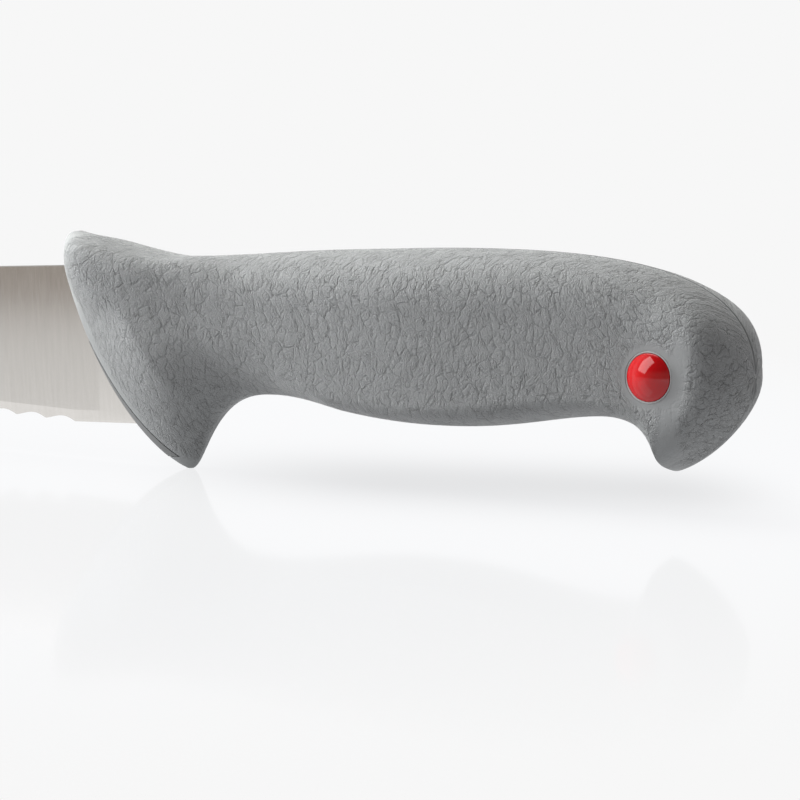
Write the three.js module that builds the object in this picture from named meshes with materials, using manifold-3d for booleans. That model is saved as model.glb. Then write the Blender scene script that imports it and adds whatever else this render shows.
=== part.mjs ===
// A pastry knife: a scalloped steel blade whose tang is held between two hard core halves,
// a soft grained grip in two halves over them, and a push-in colour plug on each side of the butt.
// Millimetres, +Z up. The knife stands on its guard with the spine level, and +X runs from the
// tip to the butt. Y = 0 is the middle plane of the blade. The origin lies on the floor, under
// the middle of the overall length. Stations along the handle count from its front.

import * as THREE from "three";
import { mergeVertices } from "three/addons/utils/BufferGeometryUtils.js";
import Module from "manifold-3d";

// Overall lengths
const bladeLength = 250;
const handleLength = 137.4;

// Top and front of the handle in the middle plane, where each station is a level stretch
const palmStation = 61.3;
const palmHeight = 39.9;
const saddleStation = 24.9;
const saddleDip = 0.8; // below the palm
const crestStation = 2.6;
const crestRise = 5.2; // above the saddle
const noseDrop = 2.5; // below the crest

// Underside and butt of the handle in the middle plane, likewise
const guardStation = 24.2;
const guardFoot = 0.15; // how much of the guard's tip is cut flat to stand on
const waistStation = 41.3;
const waistHeight = 13.6;
const bellyFromButt = 53.6;
const bellyDrop = 5.6; // below the waist
const neckFromButt = 28.3;
const neckRise = 1.8; // above the belly
const hookFromButt = 15.4;
const hookHeight = 0.1;
const buttHeight = 16.6;

// How far the outline holds its direction as it leaves and reaches a station, as shares of the
// way between the two stations
const guardToWaist = [0.24, 0.8];
const waistToBelly = [0.28, 0.52];
const bellyToNeck = [0.4, 0.32];
const neckToHook = [1.1, 0.01];
const hookToButt = [0.15, 0.62];
const crestToSaddle = [0.02, 0.31];
const saddleToPalm = [0.4, 0.4];
const palmToButt = [0.57, 0.94];
const crestToNose = [0.88, 0.84];
const noseLeave = [0.04, 0.33];
const guardArrive = [0.51, 0.85];

// Half widths of the handle, and how far along it they are reached
const guardHalf = 10.4;
const guardHalfStation = 13.7;
const waistHalf = 9.3;
const waistHalfStation = 27.5;
const palmHalf = 11.8;
const palmHalfStation = 68.7;
const neckHalf = 10.9;
const neckHalfFromButt = 30.9;
const ridgeHalf = 12.6;
const ridgeFromButt = 9.6;
const buttRadius = 16; // roundness of the butt, seen from above
const ridgeSoftness = 1.8; // how wide the flank and the butt blend into each other
const flarePower = 1.35; // how quickly the flanks leave the front edge
const thumbFlare = 5.5; // the same at the top of the thumb rest, which is broad at the front
const thumbFlareRise = 0.6; // where the flare starts to change, and where it has changed
const thumbFlareTop = 0.95;
const guardPinch = 0.25; // how fast the foot of the guard narrows behind its broadest station
const guardPinchSoftness = 1.5;
const guardPinchStation = 16; // the narrowing fades out between these stations
const guardPinchEnd = 44;
const guardPinchRise = 0.45;

// The section of the handle: flat flanks between a rounded keel and a rounded roof. Shoulders
// and keels are shares of the height. A power of 2 is an ellipse, and more is squarer.
const roofShoulder = 0.66;
const roofPower = 2.3;
const thumbShoulder = 0.5;
const thumbPower = 8; // for the flat thumb rest on top of the guard
const thumbStation = 8.7; // where the thumb rest is flattest
const thumbEnd = 38.5;
const keelPower = 2.3;
const guardKeel = 0.5;
const guardKeelStation = 20;
const palmKeel = 0.14;
const palmKeelStation = 44;
const neckKeelFromButt = 37;
const hookKeel = 0.35;
const hookKeelFromButt = 17;
const buttKeel = 0.5;

// Skin over the core
const skinThickness = 2.2;
const frontSkin = 0.9;
const frontWall = 0.8; // of the core, beside the blade
const frontSkinEnd = 8.2;
const skinUnderTop = 2.6;
const skinOverFloor = 3.2;
const coreFromButt = 9;
const lipReach = 2.6; // how far the core's front rib shows ahead of the skin, at its foot
const lipBottom = 2.2;
const lipTop = 27;
const ribStep = 0.15; // how much lower than the skin the rib lies
const seamGap = 0.3;
const clearance = 0.3;

// Blade and tang
const bladeThickness = 2;
const edgeThickness = 0.4;
const tangThickness = 1.6; // at the end of the tang, which tapers from the shoulder
const shoulderStation = -0.5; // where the flat flanks end, just ahead of the handle
const spineUnderCrest = 6.4;
const heelAboveGuard = 8.25;
const heelStation = 17;
const plainHeelEnd = -0.2;
const plainHeelRise = 0.5;
const tipDrop = 0.7; // from the spine to the edge at the tip
const heelLeave = [0.48, 0.44]; // the edge's curve, as shares of its way from heel to tip
const tipArrive = [0.84, 0.51];
const grindDepth = 10.5; // how far below the spine the grind starts, at the handle
const grindRiseAtTip = 5;
const grindSlope = 0.09; // rise of the grind's thin border towards the tip
const scallopPitch = 6.4;
const scallopDepth = 0.8;
const scallopSkew = 1.3; // above 1 the hollow is deepest towards the handle
const rootStation = 7;
const tangStation = 13;
const tangFromPlug = 22;
const tangUnderSaddle = 6.4;
const tangAboveWaist = 4;
const pegRadius = 2.2;
const pegFromHeel = 25;
const pegFromTangEnd = 16;
const pegReach = 5;

// Colour plugs and the bush that lines their bore
const plugFromButt = 15.3;
const plugHeight = 17.2;
const plugRadius = 4.2;
const plugSeat = 1.4; // how deep the head sits in the bush
const plugDome = 2;
const stemRadius = 2.8;
const stemLength = 5.5;
const stemSlot = 0.8;
const plugClearance = 0.06;
const bushRim = 0.3;
const bushClearance = 0.2;

// Facets
const lengthSteps = 36;
const heightSteps = 12;
const roundSteps = 32;
const scallopSteps = 6;
const stepCrowding = 0.1; // sections crowd towards both ends of the handle

const overallLength = bladeLength + handleLength;
const frontX = bladeLength - overallLength / 2;
const saddleHeight = palmHeight - saddleDip;
const crestHeight = saddleHeight + crestRise;
const noseHeight = crestHeight - noseDrop;
const bellyHeight = waistHeight - bellyDrop;
const neckHeight = bellyHeight + neckRise;
const halfBlade = bladeThickness / 2;
const frontHalf = halfBlade + clearance + frontWall + frontSkin;
const spineHeight = crestHeight - spineUnderCrest;
const heelHeight = heelAboveGuard - guardFoot;
const plugStation = handleLength - plugFromButt;
const bushRadius = plugRadius + plugClearance + bushRim;
const tangEnd = plugStation - tangFromPlug;
const tangTop = saddleHeight - tangUnderSaddle;
const tangBottom = waistHeight + tangAboveWaist;

const wasm = await Module();
wasm.setup();

const point = (station, height) => new THREE.Vector2(frontX + station, height);

// A closed geometry as a solid, with the triangles that a pole squeezes flat left out.
const weldDistance = 1e-4;
function solid(geometry) {
  const bare = new THREE.BufferGeometry();
  bare.setAttribute("position", geometry.getAttribute("position"));
  bare.setIndex(geometry.index);
  const merged = mergeVertices(bare, weldDistance);
  const kept = [];
  for (let i = 0; i < merged.index.count; i += 3) {
    const [a, b, c] = merged.index.array.slice(i, i + 3);
    if (a !== b && b !== c && c !== a) kept.push(a, b, c);
  }
  return new wasm.Manifold(
    new wasm.Mesh({
      numProp: 3,
      vertProperties: merged.getAttribute("position").array,
      triVerts: new Uint32Array(kept),
    }),
  );
}

// An outline in the XZ plane, made solid between two values of Y.
function prism(points, fromY, toY) {
  const geometry = new THREE.ExtrudeGeometry(new THREE.Shape(points), {
    depth: toY - fromY,
    bevelEnabled: false,
  });
  return solid(geometry.rotateX(Math.PI / 2).translate(0, toY, 0));
}

function rodAlongY(radius, x, z, fromY, toY) {
  const rod = new THREE.CylinderGeometry(radius, radius, toY - fromY, roundSteps);
  return solid(rod.translate(x, (fromY + toY) / 2, z));
}

// A solid through rings of equal count. Each ring starts at its lowest point, climbs the near
// side to its highest point halfway round, and comes down the far side.
function throughRings(rings) {
  const ring = rings[0].length;
  const faces = [];
  const quad = (a, b, c, d) => faces.push(a, b, c, a, c, d);
  for (let i = 0; i < rings.length - 1; i++) {
    for (let j = 0; j < ring; j++) {
      const k = (j + 1) % ring;
      quad(i * ring + j, (i + 1) * ring + j, (i + 1) * ring + k, i * ring + k);
    }
  }
  const last = (rings.length - 1) * ring;
  for (let j = 0; j < ring / 2; j++) {
    const far = (ring - j) % ring;
    const farNext = ring - j - 1;
    quad(j, j + 1, farNext, far);
    quad(last + far, last + farNext, last + j + 1, last + j);
  }
  const geometry = new THREE.BufferGeometry();
  geometry.setAttribute("position", new THREE.Float32BufferAttribute(rings.flat(2), 3));
  return solid(geometry.setIndex(faces));
}

// A curve that leaves and arrives through points at shares of the way between its ends.
function curveThrough(from, to, leave, arrive) {
  const control = ([along, up]) =>
    new THREE.Vector2(from.x + (to.x - from.x) * along, from.y + (to.y - from.y) * up);
  return new THREE.CubicBezierCurve(from, control(leave), control(arrive), to);
}

// A curve that is level at both of its ends.
function levelCurve(from, to, [leave, arrive]) {
  return curveThrough(from, to, [leave, 0], [1 - arrive, 1]);
}

// A curve that starts level and ends upright.
function cornerCurve(from, to, [leave, arrive]) {
  return curveThrough(from, to, [leave, 0], [1, 1 - arrive]);
}

function joined(...curves) {
  const path = new THREE.CurvePath();
  curves.forEach((curve) => path.add(curve));
  return path;
}

// The outline of the handle: underside, top and front edge
const guardTip = point(guardStation, -guardFoot);
const nose = point(0, noseHeight);
const crest = point(crestStation, crestHeight);
const saddle = point(saddleStation, saddleHeight);
const palm = point(palmStation, palmHeight);
const waist = point(waistStation, waistHeight);
const belly = point(handleLength - bellyFromButt, bellyHeight);
const neck = point(handleLength - neckFromButt, neckHeight);
const hook = point(handleLength - hookFromButt, hookHeight);
const butt = point(handleLength, buttHeight);

const underButt = cornerCurve(hook, butt, hookToButt);
const underside = joined(
  levelCurve(guardTip, waist, guardToWaist),
  levelCurve(waist, belly, waistToBelly),
  levelCurve(belly, neck, bellyToNeck),
  levelCurve(neck, hook, neckToHook),
  underButt,
);
const upperSide = joined(
  levelCurve(crest, saddle, crestToSaddle),
  levelCurve(saddle, palm, saddleToPalm),
  cornerCurve(palm, butt, palmToButt),
);
const frontEdge = joined(
  cornerCurve(crest, nose, crestToNose),
  curveThrough(nose, guardTip, noseLeave, guardArrive),
);
const edgeSteps = 160;
const frontPoints = frontEdge.getSpacedPoints(edgeSteps).reverse();
const buttPoints = underButt.getSpacedPoints(edgeSteps);

// Where a rising row of points lies at a height.
function rowAt(points, height) {
  const next = points.findIndex((p) => p.y >= height);
  if (next <= 0) return points.at(next).x;
  const low = points[next - 1];
  const high = points[next];
  return low.x + ((high.x - low.x) * (height - low.y)) / (high.y - low.y);
}

const frontAt = (height) => rowAt(frontPoints, height);
const buttAt = (height) => rowAt(buttPoints, height);

function eased(from, to, share) {
  const s = THREE.MathUtils.clamp(share, 0, 1);
  return from + (to - from) * s * s * (3 - 2 * s);
}

// A value between stops along the handle, blended from each to the next.
function alongStops(stops, station, blend) {
  const next = Math.max(stops.findIndex(([at]) => at >= station), 1);
  const [fromStation, from] = stops[next - 1];
  const [toStation, to] = stops[next];
  return blend(from, to, (station - fromStation) / (toStation - fromStation));
}

const halfStops = [
  [guardHalfStation, guardHalf],
  [waistHalfStation, waistHalf],
  [palmHalfStation, palmHalf],
  [handleLength - neckHalfFromButt, neckHalf],
  [handleLength - ridgeFromButt, ridgeHalf],
  [handleLength, ridgeHalf],
];
const keelStops = [
  [0, guardKeel],
  [guardKeelStation, guardKeel],
  [palmKeelStation, palmKeel],
  [handleLength - neckKeelFromButt, palmKeel],
  [handleLength - hookKeelFromButt, hookKeel],
  [handleLength, buttKeel],
];

// How much narrower the foot of the guard is behind its broadest station.
function pinch(station, rise) {
  const past = station - guardHalfStation;
  const ramp = (past + Math.hypot(past, guardPinchSoftness)) / 2;
  const along = (station - guardPinchStation) / (guardPinchEnd - guardPinchStation);
  return guardPinch * ramp * eased(1, 0, along) * eased(1, 0, rise / guardPinchRise);
}

// Half the width of the handle's flanks at a share of the outline's length and a rise.
function flankHalf(share, rise) {
  const station = share * handleLength;
  const narrower = pinch(station, rise);
  if (station >= guardHalfStation) return alongStops(halfStops, station, eased) - narrower;
  const ahead = 1 - station / guardHalfStation;
  const up = (rise - thumbFlareRise) / (thumbFlareTop - thumbFlareRise);
  const flare = ahead ** eased(flarePower, thumbFlare, up);
  return guardHalf - (guardHalf - frontHalf) * flare - narrower;
}

// The flanks blended into the round of the butt, which follows the butt's outline down.
function halfWidth(share, rise, x, z) {
  const depth = THREE.MathUtils.clamp(buttAt(z) - x, 0, buttRadius);
  const round = Math.sqrt(depth * (2 * buttRadius - depth));
  const flank = flankHalf(share, rise);
  const overlap = Math.max(ridgeSoftness - Math.abs(flank - round), 0);
  return Math.max(Math.min(flank, round) - overlap ** 2 / (4 * ridgeSoftness), 0);
}

// A point of the middle plane: share runs along the handle, rise from the underside to the top.
function place(share, rise) {
  const low = underside.getPoint(share);
  const high = upperSide.getPoint(share);
  const front = frontAt(guardTip.y + rise * (crest.y - guardTip.y));
  const lean = (front - guardTip.x) / (crest.x - guardTip.x);
  return { x: low.x + (high.x - low.x) * lean, z: low.y + (high.y - low.y) * rise };
}

// The section's width at a rise, as a share of its full width.
function fullness(share, rise) {
  const station = share * handleLength;
  const thumb =
    station < thumbStation
      ? eased(0, 1, station / thumbStation)
      : eased(1, 0, (station - thumbStation) / (thumbEnd - thumbStation));
  const shoulder = roofShoulder + (thumbShoulder - roofShoulder) * thumb;
  const power = roofPower + (thumbPower - roofPower) * thumb;
  const up = THREE.MathUtils.clamp((rise - shoulder) / (1 - shoulder), 0, 1);
  const down = Math.max(1 - rise / alongStops(keelStops, station, THREE.MathUtils.lerp), 0);
  const roof = (1 - up ** power) ** (1 / power);
  return roof * Math.max(1 - down ** keelPower, 0) ** (1 / keelPower);
}

// A closed loft along the handle. section(share) gives the lowest and highest rise that it
// reaches and how far its flanks lie inside those of the handle. lead carries it past the front.
function loft(toShare, section, lead) {
  const rings = [];
  for (let i = 0; i <= lengthSteps; i++) {
    const even = i / lengthSteps;
    const share = toShare * (even - stepCrowding * Math.sin(2 * Math.PI * even));
    const { low, high, inset } = section(share);
    const ring = [];
    for (let j = 0; j < 2 * heightSteps; j++) {
      const up = (1 - Math.cos((Math.PI * j) / heightSteps)) / 2;
      const { x, z } = place(share, low + (high - low) * up);
      const side = j <= heightSteps ? -1 : 1;
      const half = Math.max(halfWidth(share, up, x, z) - inset, 0);
      ring.push([x, side * half * fullness(share, up), z]);
    }
    rings.push(ring);
  }
  if (lead > 0) rings.unshift(rings[0].map(([x, y, z]) => [x - lead, y, z]));
  return throughRings(rings);
}

function riseAt(share, height) {
  const bottom = underside.getPoint(share).y;
  return (height - bottom) / (upperSide.getPoint(share).y - bottom);
}

// The share of the outline at which the handle reaches a place in the middle plane.
function shareAt(x, height) {
  const halvings = 40;
  let low = 0;
  let high = 1;
  for (let step = 0; step < halvings; step++) {
    const share = (low + high) / 2;
    if (place(share, riseAt(share, height)).x < x) low = share;
    else high = share;
  }
  return low;
}

// Half the handle's width at a place in the middle plane.
function sideAt(x, height) {
  const share = shareAt(x, height);
  const rise = riseAt(share, height);
  return halfWidth(share, rise, x, height) * fullness(share, rise);
}

// The core's section, or that of the hollow round it when it is grown by a gap.
function coreSection(gap) {
  return (share) => {
    const bottom = underside.getPoint(share).y;
    const height = upperSide.getPoint(share).y - bottom;
    const tipShare = Math.max(1 - bottom / waistHeight, 0);
    const under = skinThickness + (skinOverFloor - skinThickness) * tipShare;
    return {
      low: (under - gap) / height,
      high: 1 - (skinUnderTop - gap) / height,
      inset: eased(frontSkin, skinThickness, (share * handleLength) / frontSkinEnd) - gap,
    };
  };
}

// The tang and the root of the blade, from the heel round to the spine.
function tangOutline(gap) {
  const middle = (tangTop + tangBottom) / 2;
  const slope = (tangTop - tangBottom) / 2;
  return [
    point(heelStation + gap, heelHeight - gap),
    point(heelStation + gap, tangBottom - gap),
    point(tangEnd - slope, tangBottom - gap),
    point(tangEnd + gap, middle),
    point(tangEnd - slope, tangTop + gap),
    point(tangStation + gap, tangTop + gap),
    point(rootStation + gap, spineHeight + gap),
  ];
}

// The scalloped edge, from the handle to the tip.
function edgeOutline() {
  const start = point(plainHeelEnd, heelHeight + plainHeelRise);
  const tip = point(-bladeLength, spineHeight - tipDrop);
  const edge = curveThrough(start, tip, heelLeave, tipArrive);
  const steps = Math.floor(edge.getLength() / scallopPitch) * scallopSteps;
  const points = [];
  for (let i = 0; i <= steps; i++) {
    const across = 1 - (i % scallopSteps) / scallopSteps;
    const hollow = scallopDepth * Math.sin(Math.PI * across ** scallopSkew);
    const at = edge.getPointAt(i / steps);
    points.push(new THREE.Vector2(at.x, at.y + hollow));
  }
  return points;
}

// The thickness of the blade: full along the spine, thinned by the grind to the edge, and
// tapering along the tang. A gap makes it the room for the blade.
function bladeThinning(gap) {
  const past = bladeThickness;
  const section = (station, grindTop, edge, edgeHalf, half) => {
    const x = frontX + station;
    const low = edge - past;
    const high = crestHeight + past;
    return [
      [x, 0, low],
      [x, -edgeHalf, low],
      [x, -edgeHalf, edge],
      [x, -half, grindTop],
      [x, -half, high],
      [x, 0, high + past],
      [x, half, high],
      [x, half, grindTop],
      [x, edgeHalf, edge],
      [x, edgeHalf, low],
    ];
  };
  const edgeHalf = edgeThickness / 2 + gap;
  const fullHalf = halfBlade + gap;
  const tangHalf = tangThickness / 2 + gap;
  const edgeAtTip = heelHeight + bladeLength * grindSlope;
  const grindTop = spineHeight - grindDepth;
  return throughRings([
    section(-bladeLength - past, spineHeight + grindRiseAtTip, edgeAtTip, edgeHalf, fullHalf),
    section(shoulderStation, grindTop, heelHeight, edgeHalf, fullHalf),
    section(tangEnd + past, grindTop, heelHeight, tangHalf, tangHalf),
  ]);
}

const pegHeight = (tangTop + tangBottom) / 2;
const pegStations = [heelStation + pegFromHeel, tangEnd - pegFromTangEnd];
const pegs = pegStations.map((station) => ({ x: frontX + station, z: pegHeight }));

function makeBlade() {
  const tipTop = point(-bladeLength + tipDrop, spineHeight);
  const outline = [tipTop, ...edgeOutline().reverse(), ...tangOutline(0)];
  let blade = prism(outline, -bladeThickness, bladeThickness).intersect(bladeThinning(0));
  for (const { x, z } of pegs) {
    const hole = rodAlongY(pegRadius + clearance, x, z, -bladeThickness, bladeThickness);
    blade = blade.subtract(hole);
  }
  return blade;
}

// Everything above the floor on one side of the seam: -1 is the near half and 1 the far half.
const wide = 2 * handleLength;
function halfSpace(side) {
  const box = new THREE.BoxGeometry(wide, wide, wide);
  return solid(box.translate(frontX, side * (wide / 2 + seamGap / 2), wide / 2));
}

const plugX = frontX + plugStation;
const plugHalf = sideAt(plugX, plugHeight);
const plugLean =
  (sideAt(plugX + bushRadius, plugHeight) - sideAt(plugX - bushRadius, plugHeight)) /
  (2 * bushRadius);
const plugBore = rodAlongY(bushRadius + bushClearance, plugX, plugHeight, -wide, wide);

const coreEnd = butt.x - coreFromButt;

// The stretch of the front where the skin stops short and the core's rib shows.
const lipSteps = 8;
const ribShare = (2 * lipReach) / handleLength;
function lip(gap) {
  const outline = [];
  for (let i = 0; i <= lipSteps; i++) {
    const height = lipBottom + gap + ((lipTop - lipBottom - gap) * i) / lipSteps;
    const reach = lipReach * (1 - i / lipSteps) - gap;
    outline.push(new THREE.Vector2(frontAt(height) + reach, height));
  }
  outline.push(new THREE.Vector2(frontX - wide, lipTop));
  outline.push(new THREE.Vector2(frontX - wide, lipBottom + gap));
  return prism(outline, -wide, wide);
}

function makeCore(side) {
  const body = loft(shareAt(coreEnd, buttHeight), coreSection(0), 0);
  const rib = loft(ribShare, () => ({ low: 0, high: 1, inset: ribStep }), 0).intersect(lip(clearance));
  const pocket = [
    point(-rootStation, spineHeight + clearance),
    point(-rootStation, heelHeight - clearance),
    ...tangOutline(clearance),
  ];
  const room = prism(pocket, -bladeThickness, bladeThickness).intersect(bladeThinning(clearance));
  let core = body.add(rib).intersect(halfSpace(side)).subtract(room);
  for (const { x, z } of pegs) {
    if (side < 0) core = core.add(rodAlongY(pegRadius, x, z, -pegReach, pegReach));
    else core = core.subtract(rodAlongY(pegRadius + clearance, x, z, 0, pegReach + clearance));
  }
  return core.subtract(plugBore);
}

function makeGrip(side) {
  const hollowEnd = shareAt(coreEnd + clearance, buttHeight);
  const hollow = loft(hollowEnd, coreSection(clearance), frontHalf);
  return loft(1, () => ({ low: 0, high: 1, inset: 0 }), 0)
    .intersect(halfSpace(side))
    .subtract(hollow)
    .subtract(lip(0))
    .subtract(plugBore);
}

// A profile of radius and depth, turned about the plug's axis on the near side of the handle,
// with its depths leant to follow the flank. Depth 0 is the middle plane.
function turned(profile, side) {
  const points = profile.map(([radius, depth]) => new THREE.Vector2(radius, -depth));
  const geometry = new THREE.LatheGeometry(points, roundSteps);
  const places = geometry.getAttribute("position");
  for (let i = 0; i < places.count; i++) {
    places.setY(i, places.getY(i) * (1 + (plugLean * places.getX(i)) / plugHalf));
  }
  if (side > 0) geometry.rotateX(Math.PI);
  return solid(geometry.translate(plugX, 0, plugHeight));
}

function makeBush() {
  const seat = plugHalf - plugSeat - plugClearance;
  const seatRadius = plugRadius + plugClearance;
  const boreRadius = stemRadius + plugClearance;
  const nearEnd = [
    [boreRadius, seat],
    [seatRadius, seat],
    [seatRadius, plugHalf],
    [bushRadius, plugHalf],
  ];
  const farEnd = nearEnd.map(([radius, depth]) => [radius, -depth]).reverse();
  return turned([...nearEnd, ...farEnd, nearEnd[0]], -1);
}

function makePlug(side) {
  const domeRadius = (plugRadius ** 2 + plugDome ** 2) / (2 * plugDome);
  const domeAngle = Math.asin(plugRadius / domeRadius);
  const domeSteps = 8;
  const profile = [];
  for (let i = 0; i <= domeSteps; i++) {
    const angle = (domeAngle * i) / domeSteps;
    const drop = domeRadius * (1 - Math.cos(angle));
    profile.push([domeRadius * Math.sin(angle), plugHalf + plugDome - drop]);
  }
  const seat = plugHalf - plugSeat;
  profile.push([plugRadius, seat], [stemRadius, seat]);
  profile.push([stemRadius, seat - stemLength], [0, seat - stemLength]);
  const slotBottom = seat - stemLength - stemSlot;
  const slotTop = seat - 2 * stemSlot;
  const slot = new THREE.BoxGeometry(stemSlot, slotTop - slotBottom, 2 * plugRadius);
  slot.translate(plugX, (side * (slotTop + slotBottom)) / 2, plugHeight);
  return turned(profile, side).subtract(solid(slot));
}

const steel = { color: 0xb9b6b1, roughness: 0.32, metalness: 1 };
const hardGrey = { color: 0x6f7275, roughness: 0.45, metalness: 0 };
const softGrey = { color: 0x7c8083, roughness: 0.62, metalness: 0 };
const paleGrey = { color: 0x9a9da0, roughness: 0.4, metalness: 0 };
const red = { color: 0xc40812, roughness: 0.12, metalness: 0 };

const group = new THREE.Group();

function addPiece(name, shape, finish) {
  const { numProp, vertProperties, triVerts } = shape.getMesh();
  const geometry = new THREE.BufferGeometry();
  geometry.setAttribute("position", new THREE.BufferAttribute(vertProperties, numProp));
  geometry.setIndex(new THREE.BufferAttribute(triVerts, 1));
  geometry.computeVertexNormals();
  const mesh = new THREE.Mesh(geometry, new THREE.MeshStandardMaterial(finish));
  mesh.name = name;
  group.add(mesh);
}

addPiece("blade", makeBlade(), steel);
addPiece("core_near", makeCore(-1), hardGrey);
addPiece("core_far", makeCore(1), hardGrey);
addPiece("grip_near", makeGrip(-1), softGrey);
addPiece("grip_far", makeGrip(1), softGrey);
addPiece("plug_bush", makeBush(), paleGrey);
addPiece("plug_near", makePlug(-1), red);
addPiece("plug_far", makePlug(1), red);

export default group;
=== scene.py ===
import math

import bmesh
import bpy
import numpy as np
from mathutils import Matrix, Vector


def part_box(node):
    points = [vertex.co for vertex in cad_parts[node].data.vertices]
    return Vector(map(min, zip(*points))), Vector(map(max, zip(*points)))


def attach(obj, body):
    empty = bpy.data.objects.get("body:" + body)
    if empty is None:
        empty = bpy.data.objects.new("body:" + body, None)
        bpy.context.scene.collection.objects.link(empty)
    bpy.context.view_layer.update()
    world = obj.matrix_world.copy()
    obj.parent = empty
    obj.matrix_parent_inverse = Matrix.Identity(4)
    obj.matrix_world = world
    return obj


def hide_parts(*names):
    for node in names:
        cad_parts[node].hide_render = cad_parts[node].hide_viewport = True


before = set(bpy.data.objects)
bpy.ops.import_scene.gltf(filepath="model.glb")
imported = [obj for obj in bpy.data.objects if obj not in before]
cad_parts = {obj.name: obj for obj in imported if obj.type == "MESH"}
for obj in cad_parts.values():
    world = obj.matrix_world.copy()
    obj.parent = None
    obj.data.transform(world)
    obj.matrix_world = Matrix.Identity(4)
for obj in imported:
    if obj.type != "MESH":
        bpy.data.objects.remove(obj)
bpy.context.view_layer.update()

mm = 0.001  # pieces are modelled in millimetres and turned to metres when they are finished
bladeLength = 250.0
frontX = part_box("blade")[0].x / mm + bladeLength  # stations along the handle count from its front
beyond = 40.0  # cutters reach this far past the handle
plugLow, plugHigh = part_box("plug_bush")
plugX = (plugLow.x + plugHigh.x) / 2 / mm
plugZ = (plugLow.z + plugHigh.z) / 2 / mm
print("frame loaded, handle front at", round(frontX, 2), "and plug at", round(plugX, 2), round(plugZ, 2))


# Camera

camera = {
    "turn": 27.0,  # degrees from square on, round towards the butt
    "rise": 2.5,
    "roll": -1.74,
    "distance": 800.0,
    "aimStation": 68.6,
    "aimHeight": 25.2,
    "aimDrop": 12.6,  # the middle of the picture lies this much under the aim
    "lens": 200.0,
    "sensor": 36.0,
}


# The way to a place that is turned from square on, towards the butt, and raised
def directionOf(turn, rise):
    return Vector((math.sin(turn) * math.cos(rise), -math.cos(turn) * math.cos(rise), math.sin(rise)))


def placeByAxes(name, data, axes, where):
    placed = bpy.data.objects.new(name, data)
    bpy.context.collection.objects.link(placed)
    matrix = Matrix(axes).transposed().to_4x4()
    matrix.translation = where * mm
    placed.matrix_world = matrix
    return placed


def makeCamera():
    turn, rise, roll = (math.radians(camera[key]) for key in ("turn", "rise", "roll"))
    back = directionOf(turn, rise)
    level = Vector((math.cos(turn), math.sin(turn), 0))
    upright = back.cross(level)
    right = level * math.cos(roll) + upright * math.sin(roll)
    top = upright * math.cos(roll) - level * math.sin(roll)
    aim = Vector((frontX + camera["aimStation"], 0, camera["aimHeight"]))
    eye = aim + back * camera["distance"]
    away = (eye - aim + top * camera["aimDrop"]).normalized()
    data = bpy.data.cameras.new("viewCamera")
    data.lens = camera["lens"]
    data.sensor_width = camera["sensor"]
    bpy.context.scene.camera = placeByAxes("viewCamera", data, (right, away.cross(right), away), eye)
    return back


towardsCamera = makeCamera()
print("camera placed")


# Shape of the handle in the middle plane, the same curves as the solids follow

handle = {  # stations and heights, how far each curve runs straight from its ends, then widths
    "length": 137.4,
    "palm": (61.3, 39.9),
    "saddle": (24.9, 39.1),
    "crest": (2.6, 44.3),
    "nose": (0.0, 41.8),
    "guardTip": (24.2, -0.15),
    "waist": (41.3, 13.6),
    "belly": (83.8, 8.0),
    "neck": (109.1, 9.8),
    "hook": (122.0, 0.1),
    "butt": (137.4, 16.6),
    "guardToWaist": (0.24, 0.8),
    "waistToBelly": (0.28, 0.52),
    "bellyToNeck": (0.4, 0.32),
    "neckToHook": (1.1, 0.01),
    "hookToButt": (0.15, 0.62),
    "crestToSaddle": (0.02, 0.31),
    "saddleToPalm": (0.4, 0.4),
    "palmToButt": (0.57, 0.94),
    "crestToNose": (0.88, 0.84),
    "noseLeave": (0.04, 0.33),
    "guardArrive": (0.51, 0.85),
    "frontHalf": 3.0,
    "flarePower": 1.35,
    "thumbFlare": 5.5,  # the flare's power at the top of the thumb rest, between these rises
    "thumbFlareRises": (0.6, 0.95),
    "halfStops": ((13.7, 10.4), (27.5, 9.3), (68.7, 11.8), (106.5, 10.9), (127.8, 12.6), (137.4, 12.6)),
    "pinch": 0.25,  # how fast the foot of the guard narrows behind its broadest station
    "pinchSoftness": 1.5,
    "pinchStations": (16.0, 44.0),
    "pinchRise": 0.45,
    "buttRadius": 16.0,
    "ridgeSoftness": 1.8,
    "roofShoulder": 0.66,  # the flanks are flat between the keel and this share of the height
    "thumbShoulder": 0.5,
    "roofPower": 2.3,
    "thumbPower": 8.0,
    "thumbStation": 8.7,
    "thumbEnd": 38.5,
    "keelPower": 2.3,
    "keelStops": ((20.0, 0.5), (44.0, 0.14), (100.4, 0.14), (120.4, 0.35), (137.4, 0.5)),
}
curveSteps = 400


def eased(start, end, share):
    s = np.clip(share, 0, 1)
    return start + (end - start) * s * s * (3 - 2 * s)


def smoothStep(low, high, value):
    return eased(0.0, 1.0, (value - low) / (high - low))


def curveThrough(start, end, leave, arrive):
    start, end = (np.array(handle[key]) if isinstance(key, str) else np.array(key) for key in (start, end))
    t = np.linspace(0, 1, curveSteps)[:, None]
    first, second = start + (end - start) * leave, start + (end - start) * arrive
    return (1 - t) ** 3 * start + 3 * (1 - t) ** 2 * t * first + 3 * (1 - t) * t**2 * second + t**3 * end


def levelCurve(start, end, shares):
    leave, arrive = handle[shares]
    return curveThrough(start, end, (leave, 0), (1 - arrive, 1))


def cornerCurve(start, end, shares):
    leave, arrive = handle[shares]
    return curveThrough(start, end, (leave, 0), (1, 1 - arrive))


def pathOf(*curves):
    points = np.vstack([curves[0]] + [curve[1:] for curve in curves[1:]])
    run = np.concatenate([[0], np.cumsum(np.hypot(*np.diff(points, axis=0).T))])
    return run, points


def pointAt(path, share):
    run, points = path
    at = np.asarray(share) * run[-1]
    return np.interp(at, run, points[:, 0]), np.interp(at, run, points[:, 1])


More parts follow.
